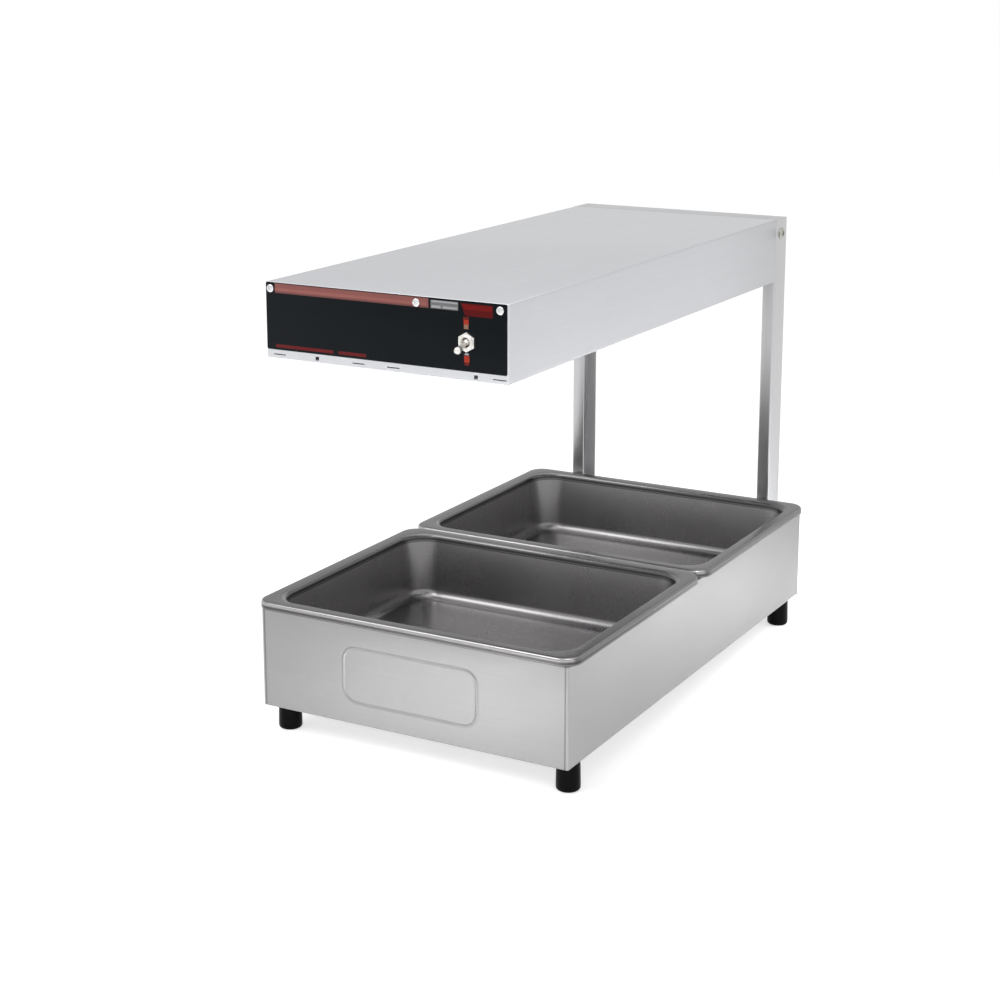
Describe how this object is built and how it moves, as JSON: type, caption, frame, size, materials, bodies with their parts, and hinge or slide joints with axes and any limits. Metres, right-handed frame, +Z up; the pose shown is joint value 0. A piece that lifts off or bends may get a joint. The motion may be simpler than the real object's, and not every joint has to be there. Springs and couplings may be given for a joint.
{
  "type": "chip warmer",
  "caption": "Counter-top food warmer: a long heated head reaches on rear posts over an open base with lift-out pans.",
  "frame": {"origin": "on the floor, under the middle of the whole warmer's bounding box", "axes": "+X to the right seen from the front, +Y from the front to the back, +Z up"},
  "size_m": [0.325, 0.6309, 0.4292],
  "materials": {
    "base_steel": "satin stainless sheet",
    "head_steel": "fine satin stainless sheet",
    "post_steel": "bright drawn stainless tube",
    "pan_steel": "polished deep-drawn stainless",
    "reflector_aluminium": "bright rolled",
    "panel_black": "smooth black film",
    "foot_black": "moulded, glossy black",
    "screw_bright": "bright plated",
    "lever_bright": "bright nickel plate",
    "zinc": "zinc plated",
    "ceramic": "unglazed ceramic",
    "element_sheath": "dark oxidised sheath",
    "guard_wire": "bright wire",
    "case_black": "phenolic",
    "brass": "tinned brass",
    "lead_cover": "braided glass sleeve",
    "bushing_black": "moulded nylon"
  },
  "bodies": {
    "frame": {"base_shell": "base_steel", "base_back_panel": "base_steel", "base_bottom_plate": "base_steel", "back_panel_screws": "screw_bright", "foot_bolts": "zinc", "foot_nuts": "zinc", "foot_front_left": "foot_black", "foot_front_right": "foot_black", "foot_rear_left": "foot_black", "foot_rear_right": "foot_black", "pan_support_bar": "base_steel", "left_post": "post_steel", "right_post": "post_steel", "left_post_spacer": "post_steel", "right_post_spacer": "post_steel", "post_base_bolts": "zinc", "post_base_nuts": "zinc", "head_mount_bolts": "zinc", "head_mount_nuts": "zinc", "post_top_screws": "screw_bright", "post_top_nuts": "zinc", "head_housing": "head_steel", "head_front_cap": "head_steel", "head_rear_cap": "head_steel", "control_panel": "panel_black", "panel_screws": "screw_bright", "rear_bridge": "head_steel", "rear_cover": "head_steel", "rear_cover_screws": "screw_bright", "reflector": "reflector_aluminium", "reflector_screws": "screw_bright", "front_bulkhead": "reflector_aluminium", "rear_bulkhead": "reflector_aluminium", "front_insulator": "ceramic", "rear_insulator": "ceramic", "heating_element": "element_sheath", "element_guard": "guard_wire", "switch_bushing": "lever_bright", "switch_pivot_pin": "zinc", "switch_case": "case_black", "switch_tabs": "brass", "switch_nut": "lever_bright", "switch_washer": "zinc", "cord_bushing": "bushing_black", "terminal_block": "ceramic", "terminal_screws": "brass", "supply_lead": "lead_cover", "switched_lead": "lead_cover", "return_lead": "lead_cover"},
    "front_pan_body": {"front_pan": "pan_steel"},
    "rear_pan_body": {"rear_pan": "pan_steel"},
    "lever_body": {"toggle_lever": "lever_bright"}
  },
  "joints": [
    {"name": "front_pan_lift", "type": "slide", "parent": "frame", "child": "front_pan_body", "axis": [0, 0, 1], "range_m": [0, 0.1]},
    {"name": "rear_pan_lift", "type": "slide", "parent": "frame", "child": "rear_pan_body", "axis": [0, 0, 1], "range_m": [0, 0.1]},
    {"name": "toggle_throw", "type": "hinge", "parent": "frame", "child": "lever_body", "pos_m": [0.08, -0.29745, 0.3952], "axis": [-1, 0, 0], "range_deg": [0, 32.4]}
  ]
}
